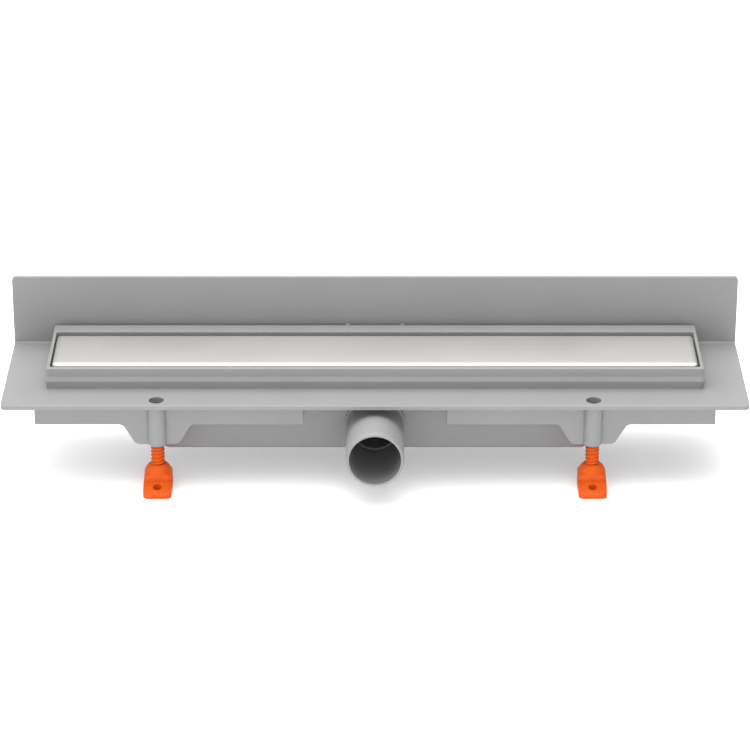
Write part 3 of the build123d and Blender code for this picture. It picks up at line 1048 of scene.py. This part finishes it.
    def lead_in(self, centre: Point) -> bpy.types.Object:
        """Shape the ring that takes the sharp start off the thread's top.

        Args:
            centre: The point on the floor under the spindle.

        Returns:
            The ring, as a closed shape to cut with.
        """
        top, depth, play, reach = self.shank_top, self.lead_in_depth, self.lead_in_play, self.lead_in_reach
        ring = turned("lead_in", centre, ((reach, top - depth), (reach, top + OVERSHOOT)), sides=48)
        slope = ((self.crest + play, top - depth - play), (self.lead_in_radius, top + depth))
        join(ring, turned("lead_cone", centre, slope, sides=48), Join.CUT)
        return ring

    def neck_and_head(self, centre: Point) -> bpy.types.Object:
        """Shape the neck and the head that the foot holds.

        Args:
            centre: The point on the floor under the spindle.

        Returns:
            The neck and head, as a closed shape.
        """
        base, top, edge = self.head_floor, self.head_floor + self.head_length, self.head_edge
        profile = (
            (self.head - edge, base), (self.head, base + edge), (self.head, top - edge),
            (self.head - edge, top), (self.neck, top), (self.neck, self.shank_start + OVERSHOOT),
        )
        return turned("neck_and_head", centre, profile, sides=40)

    def driver_slot(self, centre: Point) -> bpy.types.Object:
        """Shape the slot across the spindle's top.

        Args:
            centre: The point on the floor under the spindle.

        Returns:
            The slot, as a closed shape to cut with.
        """
        x, y, z = centre
        half, reach, top = self.slot_width / 2 * MM, self.slot_reach * MM, self.shank_top
        low = (x - half, y - reach, z + (top - self.slot_depth) * MM)
        return block("driver_slot", low, (x + half, y + reach, z + (top + OVERSHOOT) * MM))


# Studio


@dataclass(frozen=True)
class SoftLight:
    """A wide soft patch of light in the air round the drain."""

    azimuth: float
    height: float
    strength: float
    focus: float = 8.0

    def towards(self) -> Vector:
        """Return the direction of the patch's middle, from its angle round from +Y and its height."""
        turn, rise = math.radians(self.azimuth), math.radians(self.height)
        return Vector((math.cos(rise) * math.sin(turn), math.cos(rise) * math.cos(turn), math.sin(rise)))

    def shine(
        self, tree: bpy.types.NodeTree, direction: bpy.types.NodeSocket, rest: bpy.types.NodeSocket | float
    ) -> bpy.types.NodeSocket:
        """Lay out the nodes that add the patch to the rest of the light.

        Args:
            tree: The air's node tree.
            direction: The socket that gives the direction looked in.
            rest: The strength of the other light, as a number or as its socket.

        Returns:
            The socket that gives the strength of both together.
        """
        facing = tree.nodes.new("ShaderNodeVectorMath")
        facing.operation = "DOT_PRODUCT"
        facing.inputs[1].default_value = self.towards()
        tree.links.new(direction, facing.inputs[0])
        value = facing.outputs["Value"]
        for operation, number in (("MAXIMUM", 0.0), ("POWER", self.focus), ("MULTIPLY_ADD", self.strength)):
            step = tree.nodes.new("ShaderNodeMath")
            step.operation = operation
            step.inputs[1].default_value = number
            tree.links.new(value, step.inputs[0])
            value = step.outputs["Value"]
        if isinstance(rest, float):
            step.inputs[2].default_value = rest
        else:
            tree.links.new(rest, step.inputs[2])
        return value


@dataclass
class Studio:
    """The white floor, the soft light from above and the camera at the photograph's angle."""

    camera_place: Point = (0.0, -2.6820, 1.3065)
    camera_tilt: float = 65.547
    lens: float = 163.36
    sensor: float = 36.0
    view_depth: tuple[float, float] = (0.1, 50.0)
    floor_size: float = 14.0
    floor_height: float = -0.00005
    air: float = 0.2
    lights_around: Sequence[SoftLight] = (
        SoftLight(azimuth=0, height=90, strength=6.8),
        SoftLight(azimuth=0, height=60, strength=0.5),
        SoftLight(azimuth=0, height=6, strength=1.8),
        SoftLight(azimuth=180, height=6, strength=3.3),
        SoftLight(azimuth=270, height=35, strength=3.0),
        SoftLight(azimuth=90, height=35, strength=0.5),
    )

    def build(self) -> None:
        """Set up the floor, the lights and the camera."""
        self.floor()
        self.lights()
        self.camera()
        self.develop()
        log.info("studio: floor, %d soft lights and camera", len(self.lights_around))

    def floor(self) -> None:
        """Lay the floor's paper under the feet."""
        bpy.ops.object.select_all(action="DESELECT")
        bpy.ops.mesh.primitive_plane_add(size=self.floor_size, location=(0, 0, self.floor_height))
        paper = start("studio_floor")
        dress(paper, FLOOR_PAPER.material())

    def lights(self) -> None:
        """Light the drain with faint even air and a few wide soft patches."""
        world = bpy.data.worlds.new("studio_air")
        world.use_nodes = True
        tree = world.node_tree
        background = tree.nodes["Background"]
        background.inputs["Color"].default_value = (1, 1, 1, 1)
        direction = tree.nodes.new("ShaderNodeTexCoord").outputs["Generated"]
        total = self.air
        for light in self.lights_around:
            total = light.shine(tree, direction, total)
        tree.links.new(total, background.inputs["Strength"])
        bpy.context.scene.world = world

    def camera(self) -> None:
        """Stand the camera where the photograph's was."""
        data = bpy.data.cameras.new("studio_camera")
        data.lens = self.lens
        data.sensor_width = self.sensor
        data.clip_start, data.clip_end = self.view_depth
        camera = bpy.data.objects.new("studio_camera", data)
        camera.location = self.camera_place
        camera.rotation_euler = (math.radians(self.camera_tilt), 0, 0)
        bpy.context.scene.collection.objects.link(camera)
        bpy.context.scene.camera = camera

    def develop(self) -> None:
        """Show the colours as they are lit, with no film curve."""
        settings = bpy.context.scene.view_settings
        settings.view_transform = "Standard"
        settings.look = "None"
        settings.exposure = 0.0
        settings.gamma = 1.0


def main() -> None:
    """Build the drain's sub-assemblies in order, then the studio."""
    logging.basicConfig(level=logging.INFO, format="%(name)s: %(message)s")
    DrainBody().build()
    CoverPlate().build()
    CoverBrackets().build()
    OdourTrap().build()
    for side in Side:
        ScrewFoot(side).build()
    Studio().build()


if __name__ == "__main__":
    main()
